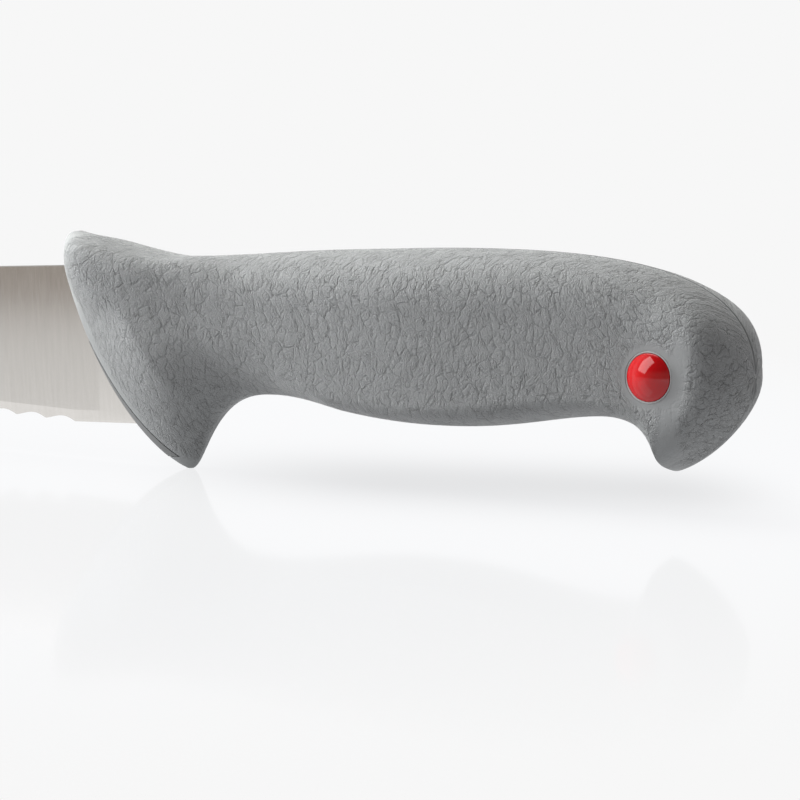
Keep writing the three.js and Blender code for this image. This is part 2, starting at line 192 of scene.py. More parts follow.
underButt = cornerCurve("hook", "butt", "hookToButt")
underside = pathOf(
    levelCurve("guardTip", "waist", "guardToWaist"),
    levelCurve("waist", "belly", "waistToBelly"),
    levelCurve("belly", "neck", "bellyToNeck"),
    levelCurve("neck", "hook", "neckToHook"),
    underButt,
)
upperSide = pathOf(
    levelCurve("crest", "saddle", "crestToSaddle"),
    levelCurve("saddle", "palm", "saddleToPalm"),
    cornerCurve("palm", "butt", "palmToButt"),
)
frontEdge = pathOf(
    cornerCurve("crest", "nose", "crestToNose"),
    curveThrough("nose", "guardTip", handle["noseLeave"], handle["guardArrive"]),
)[1][::-1]


def frontAt(height):
    return np.interp(height, frontEdge[:, 1], frontEdge[:, 0])


def place(share, rise):
    lowX, lowZ = pointAt(underside, share)
    highX, highZ = pointAt(upperSide, share)
    (tipX, tipZ), (crestX, crestZ) = handle["guardTip"], handle["crest"]
    lean = (frontAt(tipZ + rise * (crestZ - tipZ)) - tipX) / (crestX - tipX)
    return lowX + (highX - lowX) * lean, lowZ + (highZ - lowZ) * rise


# How much narrower the foot of the guard is behind its broadest station
def pinch(station, rise):
    past = station - handle["halfStops"][0][0]
    ramp = (past + np.hypot(past, handle["pinchSoftness"])) / 2
    start, end = handle["pinchStations"]
    left = (1 - smoothStep(start, end, station)) * (1 - smoothStep(0, handle["pinchRise"], rise))
    return handle["pinch"] * ramp * left


def flankHalf(share, rise):
    station = share * handle["length"]
    stops = handle["halfStops"]
    ahead = np.clip(1 - station / stops[0][0], 0, 1)
    low, high = handle["thumbFlareRises"]
    power = eased(handle["flarePower"], handle["thumbFlare"], (rise - low) / (high - low))
    half = stops[0][1] - (stops[0][1] - handle["frontHalf"]) * ahead**power
    for (start, startHalf), (end, endHalf) in zip(stops, stops[1:]):
        half = np.where(station > start, eased(startHalf, endHalf, (station - start) / (end - start)), half)
    return half - pinch(station, rise)


# The flanks blended into the round of the butt, which follows the butt's outline down
def halfWidth(share, rise, x, z):
    radius, softness = handle["buttRadius"], handle["ridgeSoftness"]
    depth = np.clip(np.interp(z, underButt[:, 1], underButt[:, 0]) - x, 0, radius)
    around = np.sqrt(depth * (2 * radius - depth))
    flank = flankHalf(share, rise)
    overlap = np.maximum(softness - np.abs(flank - around), 0)
    return np.maximum(np.minimum(flank, around) - overlap**2 / (4 * softness), 0)


# The section's width at a rise as a share of its full width: flat flanks, round keel and roof
def fullness(share, rise):
    station = share * handle["length"]
    up = eased(0, 1, station / handle["thumbStation"])
    down = eased(1, 0, (station - handle["thumbStation"]) / (handle["thumbEnd"] - handle["thumbStation"]))
    thumb = np.where(station < handle["thumbStation"], up, down)
    shoulder = handle["roofShoulder"] + (handle["thumbShoulder"] - handle["roofShoulder"]) * thumb
    power = handle["roofPower"] + (handle["thumbPower"] - handle["roofPower"]) * thumb
    keel = np.interp(station, *zip(*handle["keelStops"]))
    above = np.clip((rise - shoulder) / (1 - shoulder), 0, 1)
    below = np.clip(1 - rise / keel, 0, 1)
    roof = (1 - above**power) ** (1 / power)
    return roof * (1 - below ** handle["keelPower"]) ** (1 / handle["keelPower"])


def riseAt(share, height):
    bottom = pointAt(underside, share)[1]
    return (height - bottom) / (pointAt(upperSide, share)[1] - bottom)


def shareAt(x, height):
    low, high = 0.0, 1.0
    for step in range(40):
        share = (low + high) / 2
        if place(share, riseAt(share, height))[0] < x:
            low = share
        else:
            high = share
    return low


def sideAt(x, height):
    share = shareAt(x, height)
    rise = riseAt(share, height)
    return float(halfWidth(share, rise, x, height) * fullness(share, rise))


# Making and finishing meshes


def newPiece(name, points, faces):
    mesh = bpy.data.meshes.new(name)
    mesh.from_pydata([tuple(p) for p in points], [], [tuple(f) for f in faces])
    piece = bpy.data.objects.new(name, mesh)
    bpy.context.collection.objects.link(piece)
    return piece


def cleanUp(piece, weld=0.0):
    bm = bmesh.new()
    bm.from_mesh(piece.data)
    if weld:
        bmesh.ops.remove_doubles(bm, verts=bm.verts, dist=weld)
    bmesh.ops.recalc_face_normals(bm, faces=bm.faces)
    bm.to_mesh(piece.data)
    bm.free()
    return piece


def takeResult(piece):
    graph = bpy.context.evaluated_depsgraph_get()
    mesh = bpy.data.meshes.new_from_object(
        piece.evaluated_get(graph), preserve_all_data_layers=True, depsgraph=graph
    )
    old = piece.data
    piece.modifiers.clear()
    piece.data = mesh
    mesh.name = piece.name
    bpy.data.meshes.remove(old)


def combine(piece, tool, operation):
    step = piece.modifiers.new("combine", "BOOLEAN")
    step.solver = "MANIFOLD"
    step.operation = operation
    step.object = tool
    takeResult(piece)
    bpy.data.objects.remove(tool)


# A straight bar between two equal outlines
def barBetween(name, near, far):
    count = len(near)
    faces = [(i, (i + 1) % count, count + (i + 1) % count, count + i) for i in range(count)]
    faces += [tuple(range(count)), tuple(range(count, 2 * count))]
    return cleanUp(newPiece(name, near + far, faces))


def prism(name, outline, fromY, toY):
    return barBetween(name, *([(x, y, z) for x, z in outline] for y in (fromY, toY)))


def rodAlongY(name, radius, x, z, fromY, toY, sides=96):
    angles = np.linspace(0, 2 * math.pi, sides, endpoint=False)
    return prism(name, np.stack([x + radius * np.cos(angles), z + radius * np.sin(angles)], 1), fromY, toY)


# The faces between rows of points that each run round a shape
def facesBetween(index):
    after = np.roll(index, -1, axis=1)
    return np.stack([index[:-1], index[1:], after[1:], after[:-1]], -1).reshape(-1, 4).tolist()


# A closed loft through equal rings, each from its lowest point up the near side and down the far side
def throughRings(name, rings):
    count = len(rings[0])
    index = np.arange(len(rings) * count).reshape(-1, count)
    faces = facesBetween(index)
    for end in (index[0], index[-1]):
        for j in range(count // 2):
            faces.append((end[j], end[j + 1], end[count - j - 1], end[(count - j) % count]))
    return newPiece(name, np.concatenate(rings), faces)


lofting = {
    "lengthSteps": 110,
    "heightSteps": 36,
    "crowding": 0.1,  # how much closer the rings stand at both ends
    "weld": 1e-3,
}


def loft(name, toShare, section, lead):
    even = np.linspace(0, 1, lofting["lengthSteps"] + 1)
    turn = np.arange(2 * lofting["heightSteps"])
    up = (1 - np.cos(math.pi * turn / lofting["heightSteps"])) / 2
    side = np.where(turn <= lofting["heightSteps"], -1, 1)
    rings = []
    for share in toShare * (even - lofting["crowding"] * np.sin(2 * math.pi * even)):
        low, high, inset = section(share)
        x, z = place(share, low + (high - low) * up)
        half = np.maximum(halfWidth(share, up, x, z) - inset, 0) * fullness(share, up)
        rings.append(np.stack([frontX + x, side * half, z], 1))
    if lead:
        rings.insert(0, rings[0] - np.array([lead, 0, 0]))
    return cleanUp(throughRings(name, rings), lofting["weld"])


def addLayer(piece, name, kind, field, values):
    layer = piece.data.attributes.new(name, kind, "POINT")
    layer.data.foreach_set(field, values.ravel().astype(np.float32))


def finishPiece(piece, material, body, node, sharpAngle):
    mesh = piece.data
    mesh.transform(Matrix.Scale(mm, 4))
    mesh.materials.clear()
    mesh.materials.append(material)
    mesh.shade_smooth()
    mesh.set_sharp_from_angle(angle=math.radians(sharpAngle))
    mesh.update()
    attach(piece, body)
    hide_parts(node)
    print(piece.name, "finished with", sum(len(p.vertices) - 2 for p in mesh.polygons), "triangles")


# Small helpers for node trees of either kind

noiseSpan = (0.3, 0.7)  # most of a noise lies between these


def put(tree, socket, value):
    if isinstance(value, bpy.types.NodeSocket):
        tree.links.new(value, socket)
    else:
        socket.default_value = value


def calc(tree, operation, *values):
    node = tree.nodes.new("ShaderNodeMath")
    node.operation = operation
    for socket, value in zip(node.inputs, values):
        put(tree, socket, value)
    return node.outputs[0]


def product(tree, first, *others):
    for other in others:
        first = calc(tree, "MULTIPLY", first, other)
    return first


def total(tree, first, *others):
    for other in others:
        first = calc(tree, "ADD", first, other)
    return first


def calcVector(tree, operation, *values):
    node = tree.nodes.new("ShaderNodeVectorMath")
    node.operation = operation
    for socket, value in zip(node.inputs, values):
        put(tree, socket, value)
    return node.outputs["Value" if operation in ("DOT_PRODUCT", "LENGTH", "DISTANCE") else "Vector"]


def ramped(tree, value, low, high, start=0.0, end=1.0):
    node = tree.nodes.new("ShaderNodeMapRange")
    node.interpolation_type = "SMOOTHSTEP"
    for socket, number in zip(node.inputs, (value, low, high, start, end)):
        put(tree, socket, number)
    return node.outputs[0]


def noiseOf(tree, vector, size, detail=2.0, colour=False):
    node = tree.nodes.new("ShaderNodeTexNoise")
    put(tree, node.inputs["Vector"], vector)
    node.inputs["Scale"].default_value = 1 / size
    node.inputs["Detail"].default_value = detail
    return node.outputs["Color" if colour else "Fac"]


def mixed(tree, share, first, second):
    node = tree.nodes.new("ShaderNodeMix")
    node.data_type = "RGBA"
    put(tree, node.inputs[0], share)
    put(tree, node.inputs[6], first)
    put(tree, node.inputs[7], second)
    return node.outputs[2]


def newMaterial(name, **values):
    material = bpy.data.materials.new(name)
    material.use_nodes = True
    shader = material.node_tree.nodes["Principled BSDF"]
    for key, value in values.items():
        shader.inputs[key.replace("_", " ")].default_value = value
    return material, material.node_tree, shader


# The piece's own place in millimetres
def placeInMillimetres(tree):
    coordinates = tree.nodes.new("ShaderNodeTexCoord")
    return calcVector(tree, "MULTIPLY", coordinates.outputs["Object"], (1 / mm, 1 / mm, 1 / mm))


def bumped(tree, shader, height, depth, strength=1.0):
    bump = tree.nodes.new("ShaderNodeBump")
    bump.inputs["Strength"].default_value = strength
    bump.inputs["Distance"].default_value = depth * mm
    put(tree, bump.inputs["Height"], height)
    tree.links.new(bump.outputs["Normal"], shader.inputs["Normal"])


# A moulded plastic: two close tones, a slightly uneven gloss and a faint relief
def makePlastic(name, look):
    material, tree, shader = newMaterial(name, Specular_IOR_Level=look["specular"])
    where = placeInMillimetres(tree)
    tone = noiseOf(tree, where, *look["toneNoise"])
    put(tree, shader.inputs["Base Color"], mixed(tree, tone, look["dark"], look["pale"]))
    wear = noiseOf(tree, where, *look["wearNoise"])
    put(tree, shader.inputs["Roughness"], ramped(tree, wear, *noiseSpan, *look["roughness"]))
    bumped(tree, shader, noiseOf(tree, where, *look["reliefNoise"]), look["relief"], look["reliefStrength"])
    return material


def newTree(name, sizes):
    tree = bpy.data.node_groups.new(name, "GeometryNodeTree")
    inputs = [("Geometry", "Geometry")] + [(size, "Float") for size in sizes] + [("Material", "Material")]
    for label, kind in inputs:
        tree.interface.new_socket(label, in_out="INPUT", socket_type="NodeSocket" + kind)
    tree.interface.new_socket("Geometry", in_out="OUTPUT", socket_type="NodeSocketGeometry")
    return tree, tree.nodes.new("NodeGroupInput")


def layerOf(tree, name, kind="FLOAT"):
    node = tree.nodes.new("GeometryNodeInputNamedAttribute")
    node.data_type = kind
    node.inputs["Name"].default_value = name
    return node.outputs["Attribute"]


# Moves the points of the mesh that the tree is given, and ends the tree
def endTree(tree, given, offset):
    move = tree.nodes.new("GeometryNodeSetPosition")
    put(tree, move.inputs["Geometry"], given.outputs["Geometry"])
    put(tree, move.inputs["Offset"], offset)
    realize = tree.nodes.new("GeometryNodeRealizeInstances")
    put(tree, realize.inputs[0], move.outputs[0])
    paint = tree.nodes.new("GeometryNodeSetMaterial")
    put(tree, paint.inputs["Geometry"], realize.outputs[0])
    put(tree, paint.inputs["Material"], given.outputs["Material"])
    put(tree, tree.nodes.new("NodeGroupOutput").inputs[0], paint.outputs[0])


def applyTree(piece, tree, **values):
    step = piece.modifiers.new(tree.name, "NODES")
    step.node_group = tree
    for item in tree.interface.items_tree:
        key = item.name.replace(" ", "_")
        if item.in_out == "INPUT" and key in values:
            step[item.identifier] = values[key]
    takeResult(piece)


# Soft grip: leather-like creases in the skin, broad ones in the mesh and fine ones in the material

grip = {
    "rings": 440,  # of the skin's mesh, along the handle
    "rows": 196,  # from the seam below to the seam above
    "samples": 900,
    "frontRound": 0.45,
    "frontSteps": 5,
    "seamHalf": 0.012,
    "seamGroove": 0.7,  # depth of the groove in the parting line, as a share of its height
    "partingTop": 0.13,  # width of the raised parting line on each half
    "partingFoot": 0.2,
    "partingClear": 2.2,  # the next row is this many times as far from the seam as the foot
    "partingSpan": 8.0,  # the line is narrower where the skin is shorter than this between its seams
    "partingHeight": 0.1,
    "partingAtHump": 0.06,
    "partingFront": (1.0, 3.0),  # stations between which the line starts or fades
    "partingHumpEnd": (12.0, 24.0),
    "partingBack": (58.0, 74.0),
    "partingUnder": (131.0, 135.0),
    "poleHalf": 0.35,
    "skin": 2.2,
    "frontSkin": 0.9,
    "frontSkinEnd": 8.2,
    "skinUnderTop": 2.6,
    "skinOverFloor": 3.2,
    "gap": 0.3,
    "hollowFromButt": 8.7,
    "hollowLead": 3.0,
    "lipReach": 2.6,  # the skin stops short of the front by this much at the foot of the lip
    "lipBottom": 2.2,
    "lipTop": 27.0,
    "lipSteps": 40,
    "bore": 4.61,
    "creaseDepth": 0.045,
    "smoothFront": (1.4, 3.4),  # distances over which the grain sets in, from the front and so on
    "smoothSeam": (0.2, 0.7),
    "smoothFloor": (0.3, 2.4),
    "smoothPlug": (4.9, 6.6),
    "flankFrom": 5.0,
    "bandStation": 127.6,  # a smoother band runs between plug and ridge
    "bandLean": 0.25,
    "bandEdge": (1.2, 2.8),
    "bandTop": (4.0, 9.0),
    "bandShare": 0.8,
    "dark": (0.153, 0.16, 0.164, 1),
    "pale": (0.179, 0.187, 0.192, 1),
    "toneNoise": (9.0, 3),  # size and detail, as for every noise here
    # Painted shade: the creases are darkened towards this colour, more so past the ridge of the butt
    "creaseShade": (0.05, 0.052, 0.054, 1),
    "creaseShadeShares": (0.32, 0.22, 0.05),  # in the deep, branching and fine creases
    "creaseShadePastRidge": 1.25,
    "creaseShadeRun": 3.0,
    "roughness": (0.46, 0.58),
    "wearNoise": (4.0, 4),
    "speckNoise": (0.32, 3),
    "speckShares": (0.3, 2.2),  # on the smooth and on the grained skin
    "fineShares": (0.08, 0.7),
    "creaseHeights": (-1.0, -0.8, -0.5),
    "relief": 0.115,
    "specular": 0.6,
    "sheen": 0.2,
    "sheenRoughness": 0.4,
    "sharpAngle": 42.0,
}
grain = {
    "cell": (1.65, 3.0, 1.0),  # along the handle and up the flank
    "padCell": (1.9, 1.6, 1.0),  # the skin of the butt is padded instead
    "padFrom": 108.0,
    "padTo": 121.0,
    "padShare": 1.1,
    "meshWidth": 0.45,
    "width": 0.22,
    "breakNoise": (2.6, 3),
    "broken": (0.38, 0.58, 0.12, 1.0),  # noise from and to, then the least and most that shows of a crease
    "branchCell": (0.85, 1.5, 1.0),
    "branchWidth": 0.18,
    "branchNoise": (1.9, 3),
    "fineCell": (0.5, 0.56, 1.0),
    "fineWidth": 0.15,
    "fineNoise": (3.4, 3),
    "lesserBroken": (0.4, 0.58, 0.1, 1.0),
    "warps": ((6.0, 2.6), (1.7, 0.8), (0.5, 0.55), (0.25, 0.2)),  # size and reach
    "probe": 0.04,
    "leastSlope": 0.05,
}


def stationOf(tree, where):
    split = tree.nodes.new("ShaderNodeSeparateXYZ")
    put(tree, split.inputs[0], where)
    return split.outputs[0]


# How far a place on the skin is from the nearest edge of a pattern of cells, in millimetres
def edgeDistance(tree, where, cell):
    def distanceAt(probe):
        cells = tree.nodes.new("ShaderNodeTexVoronoi")
        cells.voronoi_dimensions = "2D"
        cells.feature = "DISTANCE_TO_EDGE"
        aside = calcVector(tree, "ADD", where, probe)
        put(tree, cells.inputs["Vector"], calcVector(tree, "DIVIDE", aside, cell))
        cells.inputs["Scale"].default_value = 1
        return cells.outputs["Distance"]

    step = grain["probe"]
    here, along, up = (distanceAt(probe) for probe in ((0, 0, 0), (step, 0, 0), (0, step, 0)))
    slopes = [calc(tree, "DIVIDE", calc(tree, "SUBTRACT", aside, here), step) for aside in (along, up)]
    square = total(tree, *(product(tree, slope, slope) for slope in slopes))
    return calc(tree, "DIVIDE", here, calc(tree, "MAXIMUM", calc(tree, "SQRT", square), grain["leastSlope"]))


def warped(tree, where):
    moved = where
    for size, reach in grain["warps"]:
        shift = calcVector(tree, "SUBTRACT", noiseOf(tree, where, size, 2, True), (0.5, 0.5, 0.5))
        moved = calcVector(tree, "ADD", moved, calcVector(tree, "MULTIPLY", shift, (reach, reach, 0)))
    return moved


# How deep the skin is creased at a place on it: 0 on the pads between creases, about 1 in a crease
def skinGrain(tree, where, width):
    moved = warped(tree, where)
    upright = ramped(tree, edgeDistance(tree, moved, grain["cell"]), 0, width, 1, 0)
    padded = ramped(tree, edgeDistance(tree, moved, grain["padCell"]), 0, width, grain["padShare"], 0)
    turn = ramped(tree, stationOf(tree, where), grain["padFrom"], grain["padTo"])
    padded = product(tree, padded, turn)
    upright = product(tree, upright, calc(tree, "SUBTRACT", 1, turn))
    shown = ramped(tree, noiseOf(tree, where, *grain["breakNoise"]), *grain["broken"])
    return product(tree, total(tree, padded, upright), shown)


# The branching or fine creases between, of which only some parts show
def lesserGrain(tree, where, kind):
    edge = edgeDistance(tree, warped(tree, where), grain[kind + "Cell"])
    creased = ramped(tree, edge, 0, grain[kind + "Width"], 1, 0)
    shown = ramped(tree, noiseOf(tree, where, *grain[kind + "Noise"]), *grain["lesserBroken"])
    return product(tree, creased, shown)


# Presses the creases into the outer skin where the grain attribute allows it
def makeGrainTree():
    tree, given = newTree("gripGrain", ("Crease depth",))
    creased = skinGrain(tree, layerOf(tree, "skinPlace", "FLOAT_VECTOR"), grain["meshWidth"])
    depth = product(tree, creased, layerOf(tree, "grain"), given.outputs["Crease depth"], -1)
    scale = tree.nodes.new("ShaderNodeVectorMath")
    scale.operation = "SCALE"
    put(tree, scale.inputs[0], tree.nodes.new("GeometryNodeInputNormal").outputs[0])
    put(tree, scale.inputs["Scale"], depth)
    endTree(tree, given, scale.outputs[0])
    return tree


def makeGripMaterial():
    material, tree, shader = newMaterial(
        "softGrip",
        Specular_IOR_Level=grip["specular"],
        Sheen_Weight=grip["sheen"],
        Sheen_Roughness=grip["sheenRoughness"],
    )
    where, mask = (tree.nodes.new("ShaderNodeAttribute") for kind in range(2))
    where.attribute_name, mask.attribute_name = "skinPlace", "grain"
    where, mask = where.outputs["Vector"], mask.outputs["Fac"]
    deep = product(tree, skinGrain(tree, where, grain["width"]), mask)
    branch = product(tree, lesserGrain(tree, where, "branch"), mask)
    fine = product(tree, lesserGrain(tree, where, "fine"), ramped(tree, mask, 0, 1, *grip["fineShares"]))
    # Painted shade in the creases, stronger past the ridge of the butt, mixed into the skin's colour
    shadedCreases = (calc(tree, "POWER", deep, 2), calc(tree, "POWER", branch, 2), fine)
    creaseShade = total(tree, *(product(tree, stain, share) for stain, share in zip(shadedCreases, grip["creaseShadeShares"])))
    ridge = handle["butt"][0] - handle["buttRadius"] / 2
    past = ramped(tree, stationOf(tree, where), ridge, ridge + grip["creaseShadeRun"], 1, grip["creaseShadePastRidge"])
    unshadedTone = mixed(tree, noiseOf(tree, where, *grip["toneNoise"]), grip["dark"], grip["pale"])
    put(tree, shader.inputs["Base Color"], mixed(tree, product(tree, creaseShade, past), unshadedTone, grip["creaseShade"]))
    wear = noiseOf(tree, where, *grip["wearNoise"])
    put(tree, shader.inputs["Roughness"], ramped(tree, wear, *noiseSpan, *grip["roughness"]))
    speckShare = ramped(tree, mask, 0, 1, *grip["speckShares"])
    speck = product(tree, noiseOf(tree, where, *grip["speckNoise"]), speckShare)
    creases = zip((deep, branch, fine), grip["creaseHeights"])
    height = total(tree, *(product(tree, crease, share) for crease, share in creases), speck)
    bumped(tree, shader, height, grip["relief"])
    return material


# The outer skin of one half as a grid of places, with how strongly each is grained
def gripSurface():
    length, (buttX, buttZ) = handle["length"], handle["butt"]
    depth = grip["poleHalf"] ** 2 / (2 * handle["buttRadius"])
    last = shareAt(buttX - depth, buttZ)
    radius = grip["frontRound"]
    start = radius / length
    bend = start * (1 - np.cos(np.linspace(0, math.pi / 2, grip["frontSteps"], endpoint=False)))
    shares = np.concatenate([bend, np.linspace(start, last, grip["rings"])])
    rise = (1 - np.cos(np.linspace(0, math.pi, grip["samples"]))) / 2
    points, masks = [], []
    for share in shares:
        x, z = place(share, rise)
        y = halfWidth(share, rise, x, z) * fullness(share, rise)
        if share < start:
            y = np.maximum(y - radius * (1 - math.sqrt(1 - (1 - share / start) ** 2)), 0)
        steps = np.sqrt(np.diff(x) ** 2 + np.diff(y) ** 2 + np.diff(z) ** 2)
        run = np.concatenate([[0], np.cumsum(steps)])
        out = np.flatnonzero(y >= grip["seamHalf"])
        edges = []
        for inner, outer in ((out[0] - 1, out[0]), (out[-1] + 1, out[-1])):
            part = (grip["seamHalf"] - y[inner]) / (y[outer] - y[inner])
            edges.append(run[inner] + part * (run[outer] - run[inner]))
        low, high = edges
        narrowing = min(1, (high - low) / grip["partingSpan"])
        near = np.array([0, grip["partingTop"], grip["partingFoot"]]) * narrowing
        after = near[-1] * grip["partingClear"]
        between = np.linspace(low + after, high - after, grip["rows"] - 2 * len(near))
        at = np.concatenate([low + near, between, high - near[::-1]])
        ring = np.stack([np.interp(at, run, values) for values in (x, y, z)], 1)
        ring[[0, -1], 1] = grip["seamHalf"]
        points.append(ring)
        masks.append(grainMask(share, ring, np.minimum(at - low, high - at)))
    points, masks = np.array(points), np.array(masks)
    steps = np.linalg.norm(np.diff(points, axis=0, prepend=points[:1]), axis=2)
    along = np.cumsum(steps, axis=0) + points[0, :, 0]
    steps = np.linalg.norm(np.diff(points, axis=1, prepend=points[:, :1]), axis=2)
    around = np.cumsum(steps, axis=1)
    around -= around[:, [grip["rows"] // 2]]
    raiseParting(points, shares)
    points[:, :, 2] = np.maximum(points[:, :, 2], 0)  # the guard's tip is cut flat to stand on
    return points, masks, np.stack([along, around, np.zeros_like(along)], 2)


# The skin is smooth at the front, by the seams and the floor, close round the plug and on a band behind it
def grainMask(share, ring, fromSeam):
    x, y, z = ring.T
    mask = smoothStep(*grip["smoothFront"], share * handle["length"])
    mask = mask * smoothStep(*grip["smoothSeam"], fromSeam) * smoothStep(*grip["smoothFloor"], z)
    fromPlug = np.hypot(x + frontX - plugX, z - plugZ)
    fromBand = np.abs(x - grip["bandStation"] + grip["bandLean"] * (plugZ - z))
    band = (1 - smoothStep(*grip["bandEdge"], fromBand)) * (1 - smoothStep(*grip["bandTop"], z - plugZ))
    byPlug = smoothStep(*grip["smoothPlug"], fromPlug) * (1 - grip["bandShare"] * band)
    return mask * np.where(y > grip["flankFrom"], byPlug, 1)


# The moulding's raised and grooved parting line along the top and round the butt
def raiseParting(points, shares):
    station = shares * handle["length"]
    top = grip["partingAtHump"] * (1 - smoothStep(*grip["partingHumpEnd"], station))
    top = top + grip["partingHeight"] * smoothStep(*grip["partingBack"], station)
    top = top * smoothStep(*grip["partingFront"], station)
    under = grip["partingHeight"] * smoothStep(*grip["partingUnder"], station)
    for rows, height, sign in (((-1, -2), top, 1), ((0, 1), under, -1)):
        run = np.gradient(points[:, rows[0], :], axis=0)
        out = np.stack([-run[:, 2], run[:, 0]], 1) * sign
        out /= np.maximum(np.hypot(out[:, 0], out[:, 1]), 1e-9)[:, None]
        for row, share in zip(rows, (-grip["seamGroove"], 1)):
            points[:, row, 0] += out[:, 0] * height * share
            points[:, row, 2] += out[:, 1] * height * share


def coreSection(gap):
    def section(share):
        bottom = pointAt(underside, share)[1]
        height = pointAt(upperSide, share)[1] - bottom
        tipShare = max(1 - bottom / handle["waist"][1], 0)
        under = grip["skin"] + (grip["skinOverFloor"] - grip["skin"]) * tipShare
        inset = eased(grip["frontSkin"], grip["skin"], share * handle["length"] / grip["frontSkinEnd"])
        return (under - gap) / height, 1 - (grip["skinUnderTop"] - gap) / height, inset - gap

    return section


# The stretch of the front where the skin stops short and the core shows
def lipOutline(gap, footGap):
    height = np.linspace(grip["lipBottom"] + footGap, grip["lipTop"], grip["lipSteps"])
    reach = grip["lipReach"] * np.linspace(1, 0, grip["lipSteps"]) - gap
    lip = np.stack([frontX + frontAt(height) + reach, height], 1).tolist()
    return lip + [(frontX - beyond, height[-1]), (frontX - beyond, height[0])]


def makeGrip(name, side, surface, tree, material):
    points, masks, places = surface
    rings, rows = masks.shape
    grid = points.reshape(-1, 3) * np.array([1, side, 1]) + np.array([frontX, 0, 0])
    index = np.arange(rings * rows).reshape(rings, rows)
    corners = [index[:-1, :-1], index[1:, :-1], index[1:, 1:], index[:-1, 1:]]
    faces = np.stack(corners, -1).reshape(-1, 4).tolist()
    middle = grid[index[0, 1:-1]].copy()
    middle[:, 1] = side * grip["seamHalf"]
    inner = np.concatenate([[index[0, 0]], rings * rows + np.arange(rows - 2), [index[0, -1]]])
    front = index[0]
    faces += [(front[0], front[1], inner[1]), (front[-2], front[-1], inner[-2])]
    faces += [(front[j], front[j + 1], inner[j + 1], inner[j]) for j in range(1, rows - 2)]
    faces.append(index[-1].tolist())
    faces.append(index[:, 0].tolist() + index[::-1, -1].tolist() + inner[-2:0:-1].tolist())
    piece = newPiece(name, np.concatenate([grid, middle]), faces)
    addLayer(piece, "grain", "FLOAT", "value", np.concatenate([masks.ravel(), np.zeros(rows - 2)]))
    onSkin = np.concatenate([places.reshape(-1, 3), places[0, 1:-1]])
    addLayer(piece, "skinPlace", "FLOAT_VECTOR", "vector", onSkin)
    cleanUp(piece)
    hollowEnd = shareAt(handle["butt"][0] - grip["hollowFromButt"], handle["butt"][1])
    combine(piece, loft("hollow", hollowEnd, coreSection(grip["gap"]), grip["hollowLead"]), "DIFFERENCE")
    combine(piece, prism("lip", lipOutline(0, 0), -beyond, beyond), "DIFFERENCE")
    combine(piece, rodAlongY("bore", grip["bore"], plugX, plugZ, -beyond, beyond), "DIFFERENCE")
    cleanUp(piece)
    applyTree(piece, tree, Crease_depth=grip["creaseDepth"], Material=material)
    node = "grip_near" if side < 0 else "grip_far"
    finishPiece(piece, material, "knife", node, grip["sharpAngle"])


gripSkin = gripSurface()
gripTree = makeGrainTree()
gripMaterial = makeGripMaterial()
makeGrip("gripNear", -1, gripSkin, gripTree, gripMaterial)
makeGrip("gripFar", 1, gripSkin, gripTree, gripMaterial)


# Blade: flat by the spine, ground thin towards a scalloped edge

blade = {
    "half": 1.0,
    "spine": 37.9,
    "tipDrop": 0.7,
    "heelEnd": (-0.2, 8.6),
    "heelLeave": (0.48, 0.44),
    "tipArrive": (0.84, 0.51),
    "grindTop": 27.4,
    "grindTopAtTip": 42.9,
    "edgeAtTip": 30.6,
    "edgeHalf": 0.05,
    "borderHalf": 0.2,
    "bevel": 2.2,
    "hone": 0.5,
    "honeHalf": 0.16,
    "spineRound": 0.18,
    "scallopPitch": 6.4,
    "scallopDepth": 0.8,
    "scallopSkew": 1.3,
    "step": 0.27,  # between stations of the mesh
    "heelSteps": 24,
    "tipRound": 0.1,  # near the tip the lengths above give way to these shares of the height
    "tipHone": 0.2,
    "tipBevel": 0.5,
    "tipGrind": 0.1,
    "honeShare": 0.7,
    "spineLeast": 0.02,
    "cutHalf": 5.0,  # cutters reach this far to each side
    "dark": (0.52, 0.503, 0.474, 1),
    "pale": (0.635, 0.614, 0.582, 1),
    "strokeStretch": 0.025,
    "strokeNoise": (0.07, 3),
    "broadStretch": 0.06,
    "broadNoise": (0.6, 3),
    "hazeNoise": (14.0, 2),
    "roughness": (0.1, 0.17),
    "haze": 0.06,
    "relief": 0.004,
    "reliefStrength": 0.5,
    "sharpAngle": 2.5,
}
tang = {
    "heel": (17.0, 8.1),
    "root": (7.0, 37.9),
    "shoulder": 13.0,
    "end": 100.1,
    "top": 32.7,
    "bottom": 17.6,
    "half": 0.9,
    "pegStations": (42.0, 84.1),
    "pegRadius": 2.2,
    "gap": 0.3,
    "roomAhead": 7.0,
}
tangMiddle = (tang["top"] + tang["bottom"]) / 2


def tangOutline(gap):
    slope = (tang["top"] - tang["bottom"]) / 2
    (heelX, heelZ), (rootX, rootZ) = tang["heel"], tang["root"]
    stations = [
        (heelX + gap, heelZ - gap),
        (heelX + gap, tang["bottom"] - gap),
        (tang["end"] - slope, tang["bottom"] - gap),
        (tang["end"] + gap, tangMiddle),
        (tang["end"] - slope, tang["top"] + gap),
        (tang["shoulder"] + gap, tang["top"] + gap),
        (rootX + gap, rootZ + gap),
    ]
    return [(frontX + x, z) for x, z in stations]


# Hollows the edge into scallops, counted along it by the scallop attribute
def makeScallopTree():
    tree, given = newTree("bladeScallops", ("Scallop depth", "Scallop skew"))
    across = calc(tree, "SUBTRACT", 1, calc(tree, "FRACT", layerOf(tree, "scallop")))
    across = calc(tree, "POWER", across, given.outputs["Scallop skew"])
    hollow = calc(tree, "SINE", product(tree, across, math.pi))
    hollow = product(tree, hollow, given.outputs["Scallop depth"], layerOf(tree, "scallopShare"))
    lift = tree.nodes.new("ShaderNodeCombineXYZ")
    put(tree, lift.inputs["Z"], hollow)
    endTree(tree, given, lift.outputs[0])
    return tree


